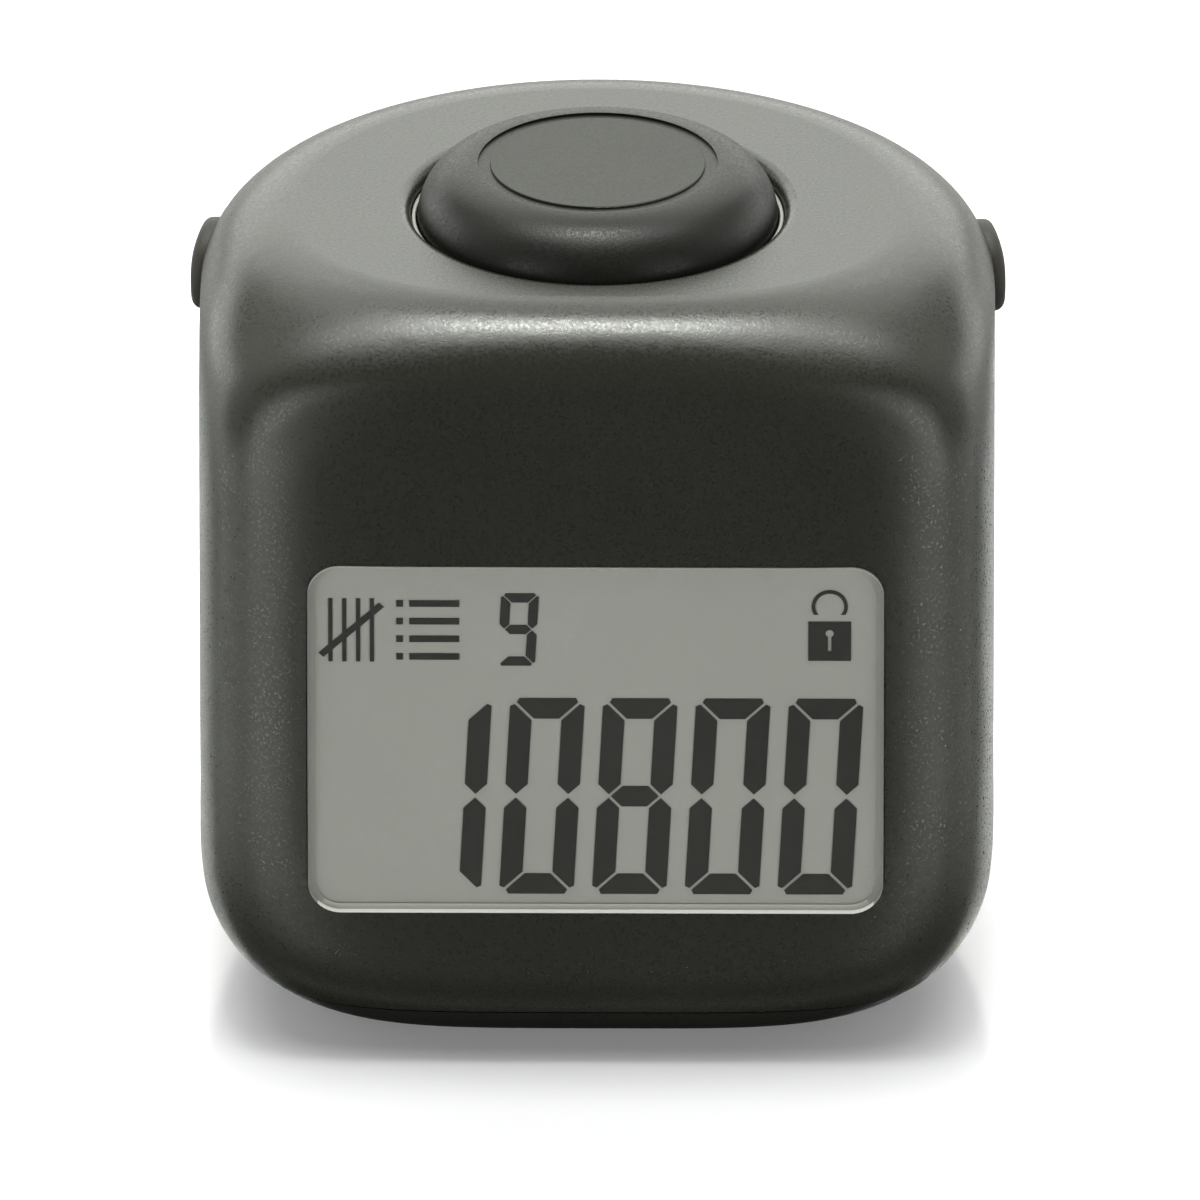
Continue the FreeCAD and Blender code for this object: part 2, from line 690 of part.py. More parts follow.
def display_lens():
    return rounded_plate(
        WINDOW_WIDTH / 2 - LENS_GAP,
        WINDOW_LOW + LENS_GAP,
        WINDOW_HIGH - LENS_GAP,
        WINDOW_CORNER_R - LENS_GAP,
        LENS_FACE,
        UPPER_GLASS_FACE,
    )


def lcd_upper_glass():
    back = UPPER_GLASS_FACE + UPPER_GLASS
    return rounded_plate(
        CELL_HALF_WIDTH, CELL_BOTTOM, UPPER_GLASS_HIGH, CELL_CORNER_R, UPPER_GLASS_FACE, back
    )


def lcd_lower_glass():
    y0 = lower_glass_face()
    y1 = y0 + LOWER_GLASS
    high = WINDOW_HIGH - CELL_CORNER_R
    seen = rounded_plate(CELL_HALF_WIDTH, CELL_BOTTOM, high + CELL_CORNER_R, CELL_CORNER_R, y0, y1)
    return fused([seen, box(-CELL_HALF_WIDTH, CELL_HALF_WIDTH, y0, y1, high, LEDGE_HIGH)])


def lcd_reflector():
    edge = 0.1
    front = FRAME_FACE - REFLECTOR
    high = LEDGE_HIGH - 2 * edge
    return rounded_plate(CELL_HALF_WIDTH - edge, CELL_BOTTOM + edge, high, CELL_CORNER_R, front, FRAME_FACE)


def lcd_frame():
    frame = box(-FRAME_HALF_WIDTH, FRAME_HALF_WIDTH, FRAME_FACE, PCB_FACE, FRAME_LOW, FRAME_HIGH)
    hollow = box(-12.2, 12.2, FRAME_FACE + 1.2, PCB_FACE + 1, 8.6, 25.4)
    tail = FLEX_HALF_WIDTH + POCKET_GAP
    over = box(-tail, tail, FRAME_FACE - 1, PCB_FACE + 1, LEDGE_HIGH + FLEX / 2, FRAME_HIGH + 1)
    behind = box(-tail, tail, PCB_FACE - 2 * FLEX, PCB_FACE + 1, FLEX_LOW - FLEX, FRAME_HIGH)
    return frame.cut([hollow, over, behind])


def lcd_flex():
    """Flexible tail: bonded to the lower glass's ledge, over its top, and down onto the main board."""
    front = lower_glass_face() - FLEX
    top = LEDGE_HIGH + FLEX
    w = FLEX_HALF_WIDTH
    bonded = box(-w, w, front, front + FLEX, FLEX_LOW, top + FLEX)
    across = box(-w, w, front, PCB_FACE, top, top + FLEX)
    soldered = box(-w, w, PCB_FACE - FLEX, PCB_FACE, FLEX_LOW, top + FLEX)
    return fused([bonded, across, soldered])


def segment_outlines(height, width, stroke, gap):
    """Corner points of the seven segments of an upright digit, with its lower left corner at the origin."""
    w, t, g = width, stroke, gap
    middle = height / 2
    chamfer = t / 2
    cut = 0.3 * t  # the digit's outer corners are cut off
    upper_left = [
        (0, height - cut - g),
        (0.2 * t, height - 0.2 * t - g),
        (t, height - t - g),
        (t, middle + chamfer + g),
        (chamfer, middle + g),
        (0, middle + chamfer + g),
    ]
    bar = [
        (0.2 * t + g, height - 0.2 * t),
        (cut + g, height),
        (w - cut - g, height),
        (w - 0.2 * t - g, height - 0.2 * t),
        (w - t - g, height - t),
        (t + g, height - t),
    ]
    centre = [
        (t * 0.5 + g, middle),
        (t + g, middle + chamfer),
        (w - t - g, middle + chamfer),
        (w - t * 0.5 - g, middle),
        (w - t - g, middle - chamfer),
        (t + g, middle - chamfer),
    ]
    flip_x = lambda points: [(w - x, y) for x, y in points]
    flip_y = lambda points: [(x, height - y) for x, y in points]
    return {
        "a": bar,
        "b": flip_x(upper_left),
        "c": flip_x(flip_y(upper_left)),
        "d": flip_y(bar),
        "e": flip_y(upper_left),
        "f": upper_left,
        "g": centre,
    }


def inked(points, x, z, lean=0.0):
    """Thin solid in the display's cell from outline points seen from the front."""
    y = UPPER_GLASS_FACE + UPPER_GLASS
    corners = [Vector(x + px + lean * pz, y, z + pz) for px, pz in points]
    face = Part.Face(Part.makePolygon(corners + corners[:1]))
    return face.extrude(Vector(0, SEGMENT, 0))


def digit(text, x, z, height, width, stroke, gap):
    outlines = segment_outlines(height, width, stroke, gap)
    return [inked(outlines[name], x, z, SLANT) for name in SEGMENTS_OF[text]]


def lcd_digits():
    made = []
    for i, text in enumerate("10800"):
        x = LAST_DIGIT_X - DIGIT_WIDTH / 2 - DIGIT_PITCH * (4 - i)
        made += digit(text, x, DIGIT_LOW, DIGIT_HEIGHT, DIGIT_WIDTH, DIGIT_STROKE, DIGIT_GAP)
    x = SMALL_X - SMALL_WIDTH / 2
    made += digit("9", x, ICON_LOW, SMALL_HEIGHT, SMALL_WIDTH, SMALL_STROKE, SMALL_GAP)
    return group(made)


def bar_icon(x0, x1, z0, z1):
    return inked([(x0, z0), (x1, z0), (x1, z1), (x0, z1)], 0, 0)


def padlock_icon(x, z):
    """Open padlock: a square body with a keyhole, and a raised bow."""
    y = UPPER_GLASS_FACE + UPPER_GLASS
    side = 2.04
    body = bar_icon(x - side / 2, x + side / 2, z, z + side)
    hole = Part.makeCylinder(0.2, 1, Vector(x, y - 0.5, z + 1.42), Y_AXIS)
    slit = box(x - 0.08, x + 0.08, y - 0.5, y + 0.5, z + 0.5, z + 1.5)
    outer = Part.makeCylinder(0.86, SEGMENT, Vector(x, y, z + 2.84), Y_AXIS)
    inner = Part.makeCylinder(0.69, 1, Vector(x, y - 0.5, z + 2.84), Y_AXIS)
    above = box(x - 1, x + 1, y - 0.5, y + 0.5, z + 2.42, z + 4)
    return [body.cut([hole, slit]), outer.cut(inner).common(above)]


def tally_icon(x, z, width, height):
    """Four strokes crossed by a fifth."""
    stroke = 0.2
    pitch = (width - stroke) / 4.4
    marks = [bar_icon(x + pitch * (i + 0.7), x + pitch * (i + 0.7) + stroke, z, z + height) for i in range(4)]
    low, lean = 0.45, 0.22
    high = height - low
    cross = inked([(0, low), (lean, low - lean), (width, high), (width - lean, high + lean)], x, z)
    return [fused(marks + [cross])]


def list_icon(x, z, width, height):
    """Four rows, each a square and a bar."""
    made = []
    thick = 0.32
    for i in range(4):
        low = z + (height - thick) * i / 3
        made.append(bar_icon(x, x + thick, low, low + thick))
        made.append(bar_icon(x + thick + 0.3, x + width, low, low + thick))
    return made


def lcd_icons():
    icons = tally_icon(-13.2, ICON_LOW + 0.2, 3.1, 3.3)
    icons += list_icon(-9.5, ICON_LOW + 0.3, 3.0, 3.1)
    icons += padlock_icon(11.15, ICON_LOW + 0.3)
    return group(icons)


# Main board and what is on it.
def main_pcb():
    board = box(-PCB_HALF_WIDTH, PCB_HALF_WIDTH, PCB_FACE, PCB_FACE + PCB, PCB_LOW, PCB_HIGH)
    return board.cut(header_pins())


def controller_blob():
    """Epoxy drop over the bare controller chip."""
    radius = 4.0
    height = 1.4
    ball_r = (radius * radius + height * height) / (2 * height)
    face_y = PCB_FACE + PCB
    ball = Part.makeSphere(ball_r, Vector(0, face_y + height - ball_r, 18.5))
    return ball.common(box(-10, 10, face_y, face_y + 5, 8, 29))


def timing_crystal():
    y = PCB_FACE + PCB + 1.0
    can = Part.makeCylinder(1.0, 6.0, Vector(5.0, y, 25.0), X_AXIS)
    return can.makeFillet(0.25, [e for e in can.Edges if e.BoundBox.XLength < 1e-6])


def chips(places, length, height):
    """Two-terminal chips on the back of the main board."""
    y0 = PCB_FACE + PCB
    return group([box(x, x + length, y0, y0 + height, z, z + 0.8) for x, z in places])


def chip_capacitors():
    return chips([(-12.0 + 3.0 * i, 25.5) for i in range(5)], 1.6, 0.8)


def chip_resistors():
    return chips([(-10.5 + 2.6 * i, 12.8) for i in range(6)], 1.6, 0.45)


def lead(points):
    """Insulated wire along straight runs joined by tangent arcs."""
    points = [Vector(*p) for p in points]
    edges = []
    start = points[0]
    for before, corner, after in zip(points, points[1:], points[2:]):
        into = (corner - before).normalize()
        out = (after - corner).normalize()
        turn = into.getAngle(out)
        shorter = min(before.distanceToPoint(corner), corner.distanceToPoint(after))
        cut = 0.45 * shorter
        radius = cut / math.tan(turn / 2)
        inner = (out - into).normalize()
        centre = corner + inner * math.hypot(radius, cut)
        first, last = corner - into * cut, corner + out * cut
        edges += [Part.makeLine(start, first), Part.Arc(first, centre - inner * radius, last).toShape()]
        start = last
    edges.append(Part.makeLine(start, points[-1]))
    path = Part.Wire(edges)
    ring = Part.Wire(Part.makeCircle(LEAD_R, points[0], points[1] - points[0]))
    return path.makePipeShell([ring], True, False)


def negative_lead():
    top = CONTACT_TAB_TOP
    y = CELL_Y + CONTACT_REACH - CONTACT / 2
    solder = (-LEAD_X, LEAD_END, LEAD_Z)
    return lead([(0, y, top), (0, y - 0.4, top + 3.5), (-3.5, 2.5, top + 5), (-LEAD_X, -3.5, LEAD_Z), solder])


def positive_lead():
    top = CONTACT_TAB_TOP
    angle = math.radians(55)
    r = CELL_R + 0.16
    x, y = r * math.cos(angle), CELL_Y + r * math.sin(angle)
    solder = (LEAD_X, LEAD_END, LEAD_Z)
    return lead([(x, y, top), (x, y - 0.4, top + 3.5), (6.5, 3.0, top + 5), (LEAD_X, -3.5, LEAD_Z), solder])


PIECES = {
    "main_shell": main_shell,
    "base_cover": base_cover,
    "battery_door": battery_door,
    "door_seal": door_seal,
    "coin_cell": coin_cell,
    "negative_contact": negative_contact,
    "positive_contact": positive_contact,
    "base_screws": base_screws,
    "count_button": count_button,
    "button_inlay": button_inlay,
    "button_guide_ring": button_guide_ring,
    "silicone_dome": silicone_dome,
    "contact_pill": contact_pill,
    "contact_pads": contact_pads,
    "button_board": button_board,
    "board_screws": board_screws,
    "header_pins": header_pins,
    "header_block": header_block,
    "display_lens": display_lens,
    "lcd_upper_glass": lcd_upper_glass,
    "lcd_lower_glass": lcd_lower_glass,
    "lcd_reflector": lcd_reflector,
    "lcd_frame": lcd_frame,
    "lcd_flex": lcd_flex,
    "lcd_digits": lcd_digits,
    "lcd_icons": lcd_icons,
    "main_pcb": main_pcb,
    "controller_blob": controller_blob,
    "timing_crystal": timing_crystal,
    "chip_capacitors": chip_capacitors,
    "chip_resistors": chip_resistors,
    "positive_lead": positive_lead,
    "negative_lead": negative_lead,
}
SIDE_PIECES = {
    "side_key": side_key,
    "switch_body": switch_body,
    "switch_shield": switch_shield,
    "switch_plunger": switch_plunger,
}


def save(name, shape):
    solids = shape.Solids
    if not shape.isValid() or not solids:
        print("PROBLEM", name, "valid", shape.isValid(), "solids", len(solids))
    out = solids[0] if len(solids) == 1 else group(solids)
    out.translate(Vector(0, -(BACK + LENS_FACE) / 2, 0))
    out.exportStep(os.path.join("parts", name + ".step"))
    bounds = out.BoundBox
    print(
        f"{name:20s} solids {len(solids):2d}  volume {out.Volume:9.2f}  "
        f"x {bounds.XMin:6.2f} {bounds.XMax:6.2f}  y {bounds.YMin:6.2f} {bounds.YMax:6.2f}  "
        f"z {bounds.ZMin:6.2f} {bounds.ZMax:6.2f}"
    )


def main():
    os.makedirs("parts", exist_ok=True)
    for name, build in PIECES.items():
        save(name, build())
    for name, build in SIDE_PIECES.items():
        shape = build()
        save("right_" + name, shape)
        save("left_" + name, mirrored(shape))


main()
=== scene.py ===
"""Looks for the hand tally counter: materials, floor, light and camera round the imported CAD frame."""

import math

import bmesh
import bpy
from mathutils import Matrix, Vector


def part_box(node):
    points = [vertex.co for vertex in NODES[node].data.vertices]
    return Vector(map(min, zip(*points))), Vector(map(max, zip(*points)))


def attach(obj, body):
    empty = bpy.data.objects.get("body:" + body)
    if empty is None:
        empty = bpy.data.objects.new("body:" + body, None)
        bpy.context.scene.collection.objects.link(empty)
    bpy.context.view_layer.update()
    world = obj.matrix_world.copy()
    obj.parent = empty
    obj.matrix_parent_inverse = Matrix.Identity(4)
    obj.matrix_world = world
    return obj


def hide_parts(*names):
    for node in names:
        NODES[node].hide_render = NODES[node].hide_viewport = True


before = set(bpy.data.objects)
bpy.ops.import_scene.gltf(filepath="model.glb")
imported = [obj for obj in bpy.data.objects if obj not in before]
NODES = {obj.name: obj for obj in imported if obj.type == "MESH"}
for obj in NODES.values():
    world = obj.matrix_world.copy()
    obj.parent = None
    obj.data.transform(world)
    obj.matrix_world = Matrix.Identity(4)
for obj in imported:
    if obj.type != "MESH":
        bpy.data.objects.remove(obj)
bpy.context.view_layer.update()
MM = 0.001

# Noise scales of the materials, in cycles per metre.
MOTTLE = 90.0
FINE_WEAR = 6000.0
WINDOW_WEAR = 9000.0
METAL_STREAK = 4000.0
FLOOR_MOTTLE = 30.0

# The size of the grain on the case, and how steeply the window's gloss grows towards grazing.
CASE_GRAIN = 0.15 * MM
GRAZING_POWER = 5.0

# The display window: its corner radius, its softened front edge, and its opaque border behind.
WINDOW_RADIUS = 1.59 * MM
WINDOW_SOFT_EDGE = 0.03 * MM
WINDOW_SOFT_STEPS = 5
WINDOW_BORDER = 0.3 * MM
WINDOW_BACK_GAP = 0.01 * MM

# The floor: its half size, its pale colours, its glow, and its grey in reflections.
FLOOR_HALF = 1.5
FLOOR_DARK = (0.42, 0.415, 0.44, 1)
FLOOR_PALE = (0.44, 0.435, 0.46, 1)
FLOOR_GLOW = 0.15
FLOOR_GLOSS_TONE = (0.045, 0.045, 0.045, 1)

# The light: its tint, the point that every lamp faces, and the strength of the plain world.
LIGHT_TONE = (0.985, 1.0, 0.95)
LIGHT_AIM = (0, 0, 0.02)
WORLD_STRENGTH = 0.2

# Each lamp: name, azimuth and elevation in degrees, distance, width, height and radiance.
LAMPS = (
    ("back_panel", 180, 26, 1.3, 1.7, 1.1, 2.8),
    ("top_panel", 90, 87.5, 0.8, 0.17, 0.26, 37.0),
    ("top_front", 0, 73, 0.8, 0.50, 0.20, 4.5),
    ("top_wide", 0, 89, 0.82, 1.0, 0.24, 9.0),
    ("left_high", 150, 55, 1.0, 0.50, 0.45, 3.0),
    ("right_high", -150, 55, 1.0, 0.50, 0.45, 3.0),
    ("left_side", 94, 26, 0.8, 0.60, 0.60, 0.9),
    ("right_side", -94, 26, 0.8, 0.60, 0.60, 0.8),
    ("left_upper", 100, 50, 0.8, 0.60, 0.40, 0.6),
    ("right_upper", -100, 50, 0.8, 0.60, 0.40, 0.5),
    ("left_ridge", 48, 2, 0.8, 0.26, 0.30, 4.4),
    ("right_ridge", -48, 2, 0.8, 0.26, 0.30, 4.4),
    ("front_bounce", 0, -34, 0.6, 0.60, 0.08, 0.4),
    ("left_rim", 150, -32, 0.7, 0.50, 0.26, 1.0),
    ("right_rim", -150, -32, 0.7, 0.50, 0.26, 1.0),
    ("left_front", 40, 15, 0.8, 0.30, 0.30, 2.2),
    ("right_front", -40, 15, 0.8, 0.30, 0.30, 1.8),
    ("left_bounce", 40, -20, 0.6, 0.34, 0.30, 2.8),
    ("right_bounce", -42, -20, 0.6, 0.34, 0.30, 2.4),
    ("left_side_bounce", 84, -18, 0.6, 0.46, 0.26, 2.1),
    ("right_side_bounce", -84, -18, 0.6, 0.46, 0.26, 1.6),
    ("left_back", 122, 8, 0.9, 0.72, 0.45, 3.4),
    ("right_back", -122, 8, 0.9, 0.72, 0.45, 2.8),
)

# The camera: where it stands, and the width and middle of what it sees.
CAMERA_ELEVATION = math.radians(25.0)
CAMERA_AZIMUTH = math.radians(0.4)
CAMERA_AWAY = 2.2
CAMERA_CLIP = 10.0
SENSOR_WIDTH = 36.0
VIEW_WIDTH = 57.14 * MM
VIEW_MIDDLE_X = 0.21 * MM
VIEW_MIDDLE_Z = 24.58 * MM


def rgb(r, g, b):
    """Linear colour from 0-255 display values, by the sRGB curve."""
    channels = []
    for c in (r, g, b):
        channels.append(((c / 255 + 0.055) / 1.055) ** 2.4 if c > 10 else c / 255 / 12.92)
    return tuple(channels) + (1.0,)


def shaded(colour, share):
    """The same colour with its brightness multiplied by the share."""
    return tuple(c * share for c in colour[:3]) + (1,)


class Maker:
    """Short way to write a node material."""

    def __init__(self, name):
        self.mat = bpy.data.materials.new(name)
        self.mat.use_nodes = True
        self.tree = self.mat.node_tree
        self.bsdf = self.tree.nodes["Principled BSDF"]
        self.out = self.tree.nodes["Material Output"]
        self.place = self.add("ShaderNodeTexCoord").outputs["Object"]

    def add(self, kind, **values):
        node = self.tree.nodes.new(kind)
        for key, value in values.items():
            setattr(node, key, value)
        return node

    def link(self, a, b):
        self.tree.links.new(a, b)

    def set(self, **values):
        for key, value in values.items():
            self.bsdf.inputs[key.replace("_", " ")].default_value = value

    def noise(self, scale, detail=2.0, rough=0.5):
        node = self.add("ShaderNodeTexNoise")
        node.inputs["Scale"].default_value = scale
        node.inputs["Detail"].default_value = detail
        node.inputs["Roughness"].default_value = rough
        self.link(self.place, node.inputs["Vector"])
        return node.outputs["Fac"]

    def ramp(self, factor, low, high, start=0.3, end=0.7):
        node = self.add("ShaderNodeMapRange")
        node.inputs["From Min"].default_value = start
        node.inputs["From Max"].default_value = end
        node.inputs["To Min"].default_value = low
        node.inputs["To Max"].default_value = high
        self.link(factor, node.inputs["Value"])
        return node.outputs["Result"]

    def mix(self, factor, a, b, start=0.3, end=0.7):
        node = self.add("ShaderNodeValToRGB")
        node.color_ramp.elements[0].position = start
        node.color_ramp.elements[1].position = end
        node.color_ramp.elements[0].color = a
        node.color_ramp.elements[1].color = b
        self.link(factor, node.inputs["Fac"])
        return node.outputs["Color"]

    def bump(self, height, strength, distance):
        node = self.add("ShaderNodeBump")
        node.inputs["Strength"].default_value = strength
        node.inputs["Distance"].default_value = distance
        self.link(height, node.inputs["Height"])
        return node.outputs["Normal"]


def plastic(name, dark, light, roughness, grain, grain_depth, ior=1.45, coat=0.0, sparkle=0.05):
    """Moulded plastic: slightly uneven colour and a spark-eroded grain of the given size."""
    m = Maker(name)
    m.link(m.mix(m.noise(MOTTLE, detail=3.0), dark, light), m.bsdf.inputs["Base Color"])
    fine = m.noise(1 / grain, rough=0.6)
    m.link(m.ramp(fine, roughness - sparkle, roughness + sparkle), m.bsdf.inputs["Roughness"])
    m.link(m.bump(fine, strength=1.0, distance=grain_depth), m.bsdf.inputs["Normal"])
    m.set(IOR=ior, Coat_Weight=coat)
    return m.mat


def clear(name, tint, gloss_roughness, gloss_ahead, gloss_grazing):
    """Clear sheet: what is behind shows straight through, under a gloss that grows towards grazing."""
    m = Maker(name)
    through = m.add("ShaderNodeBsdfTransparent")
    through.inputs["Color"].default_value = tint
    gloss = m.add("ShaderNodeBsdfGlossy")
    gloss.inputs["Roughness"].default_value = gloss_roughness
    fine = m.noise(WINDOW_WEAR, detail=1.0)
    m.link(m.bump(fine, strength=0.2, distance=0.002 * MM), gloss.inputs["Normal"])
    weight = m.add("ShaderNodeLayerWeight")
    weight.inputs["Blend"].default_value = 0.5
    steep = m.add("ShaderNodeMath", operation="POWER")
    m.link(weight.outputs["Facing"], steep.inputs[0])
    steep.inputs[1].default_value = GRAZING_POWER
    mixer = m.add("ShaderNodeMixShader")
    share = m.ramp(steep.outputs["Value"], gloss_ahead, gloss_grazing, start=0.0, end=1.0)
    m.link(share, mixer.inputs["Fac"])
    m.link(through.outputs["BSDF"], mixer.inputs[1])
    m.link(gloss.outputs["BSDF"], mixer.inputs[2])
    m.link(mixer.outputs["Shader"], m.out.inputs["Surface"])
    return m.mat


def metal(name, colour, roughness):
    """Metal or plating with fine uneven wear."""
    m = Maker(name)
    worn = m.noise(METAL_STREAK, detail=3.0)
    spread = 0.08
    m.link(m.mix(worn, shaded(colour, 0.8), colour), m.bsdf.inputs["Base Color"])
    m.link(m.ramp(worn, roughness - spread, roughness + spread), m.bsdf.inputs["Roughness"])
    m.link(m.bump(worn, strength=0.3, distance=0.003 * MM), m.bsdf.inputs["Normal"])
    m.set(Metallic=1.0)
    return m.mat


def lined(name, ground, line, pitch, share, roughness):
    """Film or board with fine straight conductors showing through its surface."""
    m = Maker(name)
    bricks = m.add("ShaderNodeTexBrick")
    turned = m.add("ShaderNodeMapping")
    turned.inputs["Rotation"].default_value = (math.pi / 2, 0.0, 0.0)
    m.link(m.place, turned.inputs["Vector"])
    m.link(turned.outputs["Vector"], bricks.inputs["Vector"])
    bricks.inputs["Scale"].default_value = 1 / pitch
    bricks.inputs["Mortar Size"].default_value = share
    bricks.inputs["Color1"].default_value = ground
    bricks.inputs["Color2"].default_value = shaded(ground, 0.9)
    bricks.inputs["Mortar"].default_value = line
    m.link(bricks.outputs["Color"], m.bsdf.inputs["Base Color"])
    fine = m.noise(FINE_WEAR)
    spread = 0.05
    m.link(m.ramp(fine, roughness - spread, roughness + spread), m.bsdf.inputs["Roughness"])
    m.link(m.bump(bricks.outputs["Fac"], strength=0.6, distance=0.01 * MM), m.bsdf.inputs["Normal"])
    return m.mat


def dress(names, mat):
    """Gives the named CAD nodes a material."""
    for name in names:
        mesh = NODES[name].data
        mesh.materials.clear()
        mesh.materials.append(mat)


case = plastic(
    "case_plastic", rgb(21, 22, 16), rgb(25, 26, 19), 0.32, CASE_GRAIN, 0.0088 * MM, sparkle=0.085
)
base = plastic(
    "base_plastic", rgb(20, 20, 18), rgb(24, 24, 21), 0.34, CASE_GRAIN, 0.0085 * MM, sparkle=0.08
)
button = plastic(
    "button_rubber", rgb(14, 15, 12), rgb(18, 19, 15), 0.4, 0.14 * MM, 0.009 * MM, ior=1.27, sparkle=0.1
)
inlay = plastic("inlay_satin", rgb(27, 28, 23), rgb(31, 32, 27), 0.5, 0.1 * MM, 0.0015 * MM, ior=1.29)
ring = plastic("ring_satin", rgb(95, 95, 90), rgb(104, 104, 99), 0.3, 0.2 * MM, 0.001 * MM)
keys = plastic("key_rubber", rgb(32, 30, 26), rgb(39, 37, 32), 0.6, 0.12 * MM, 0.003 * MM, ior=1.36)
ground = plastic(
    "display_ground", rgb(124, 125, 120), rgb(127, 128, 123), 0.8, 0.06 * MM, 0.0, ior=1.1
)
# The window slab's bottom border and bottom sides: painted light, lighter than the display's ground, to
# offset the shade that falls there.
edge = plastic(
    "display_border_painted_light", rgb(146, 147, 142), rgb(150, 151, 146), 0.8, 0.06 * MM, 0.0, ior=1.1
)
sill_painted_light = plastic(
    "display_sill_painted_light", rgb(200, 201, 196), rgb(204, 205, 200), 0.8, 0.06 * MM, 0.0, ior=1.1
)
ink = plastic("display_ink", rgb(40, 40, 38), rgb(44, 44, 42), 0.7, 0.1 * MM, 0.0, ior=1.1)
lens = clear("display_window", (1, 1, 1, 1), 0.25, 0.004, 0.35)
black_nylon = plastic("black_nylon", rgb(20, 20, 20), rgb(30, 30, 29), 0.5, 0.2 * MM, 0.004 * MM)
frame_grey = plastic("frame_grey", rgb(196, 196, 190), rgb(206, 206, 200), 0.55, 0.2 * MM, 0.003 * MM)
seal = plastic("seal_rubber", rgb(16, 16, 16), rgb(24, 24, 24), 0.7, 0.1 * MM, 0.004 * MM)
silicone = plastic(
    "silicone", rgb(205, 206, 200), rgb(216, 217, 211), 0.45, 0.3 * MM, 0.003 * MM, ior=1.41
)
carbon = plastic("carbon_rubber", rgb(22, 22, 23), rgb(34, 34, 35), 0.8, 0.06 * MM, 0.005 * MM)
epoxy = plastic("epoxy_blob", rgb(14, 14, 15), rgb(20, 20, 21), 0.16, 0.9 * MM, 0.02 * MM, coat=0.5)
tan_chip = plastic("ceramic_tan", rgb(165, 142, 108), rgb(178, 154, 118), 0.6, 0.05 * MM, 0.003 * MM)
black_chip = plastic("ceramic_black", rgb(26, 26, 28), rgb(36, 36, 38), 0.4, 0.05 * MM, 0.003 * MM)
red_wire = plastic("insulation_red", rgb(176, 30, 24), rgb(188, 38, 30), 0.35, 0.2 * MM, 0.003 * MM)
black_wire = plastic("insulation_black", rgb(20, 20, 20), rgb(28, 28, 28), 0.35, 0.2 * MM, 0.003 * MM)
plunger = plastic("plunger_nylon", rgb(34, 34, 34), rgb(44, 44, 43), 0.45, 0.15 * MM, 0.003 * MM)
cell_steel = metal("cell_steel", rgb(214, 213, 208), 0.32)
spring_steel = metal("spring_steel", rgb(204, 200, 184), 0.28)
screw_steel = metal("screw_steel", rgb(170, 172, 174), 0.34)
can_steel = metal("can_steel", rgb(205, 206, 208), 0.3)
gold = metal("gold_plate", rgb(220, 184, 96), 0.25)
board = lined("solder_mask", rgb(22, 92, 50), rgb(52, 128, 76), 2.4 * MM, 0.06, 0.32)
flex = lined("polyimide_film", rgb(176, 104, 34), rgb(120, 62, 20), 0.8 * MM, 0.12, 0.3)

WEAR = (
    (case, "main_shell"),
    (base, "base_cover", "battery_door"),
    (button, "count_button"),
    (inlay, "button_inlay"),
    (ring, "button_guide_ring"),
    (keys, "right_side_key", "left_side_key"),
    (ground, "lcd_reflector", "lcd_lower_glass"),
    (ink, "lcd_digits", "lcd_icons"),
    (lens, "display_lens", "lcd_upper_glass"),
    (frame_grey, "lcd_frame"),
    (flex, "lcd_flex"),
    (board, "main_pcb", "button_board"),
    (epoxy, "controller_blob"),
    (can_steel, "timing_crystal", "right_switch_shield", "left_switch_shield"),
    (tan_chip, "chip_capacitors"),
    (black_chip, "chip_resistors"),
    (red_wire, "positive_lead"),
    (black_wire, "negative_lead"),
    (black_nylon, "header_block", "right_switch_body", "left_switch_body"),
    (plunger, "right_switch_plunger", "left_switch_plunger"),
    (gold, "contact_pads", "header_pins"),
    (carbon, "contact_pill"),
    (silicone, "silicone_dome"),
    (seal, "door_seal"),
    (cell_steel, "coin_cell"),
    (spring_steel, "negative_contact", "positive_contact"),
    (screw_steel, "base_screws", "board_screws"),
)
for row in WEAR:
    dress(row[1:], row[0])


def rounded_outline(x0, x1, z0, z1, radius, steps=12):
    """Points (x, z) anticlockwise round a rectangle with rounded corners, seen from the front."""
    corners = ((x1, z0, -90), (x1, z1, 0), (x0, z1, 90), (x0, z0, 180))
    points = []
    for x, z, start in corners:
        cx = x - radius if x == x1 else x + radius
        cz = z - radius if z == z1 else z + radius
        for i in range(steps + 1):
            a = math.radians(start + 90 * i / steps)
            points.append((cx + radius * math.cos(a), cz + radius * math.sin(a)))
    return points


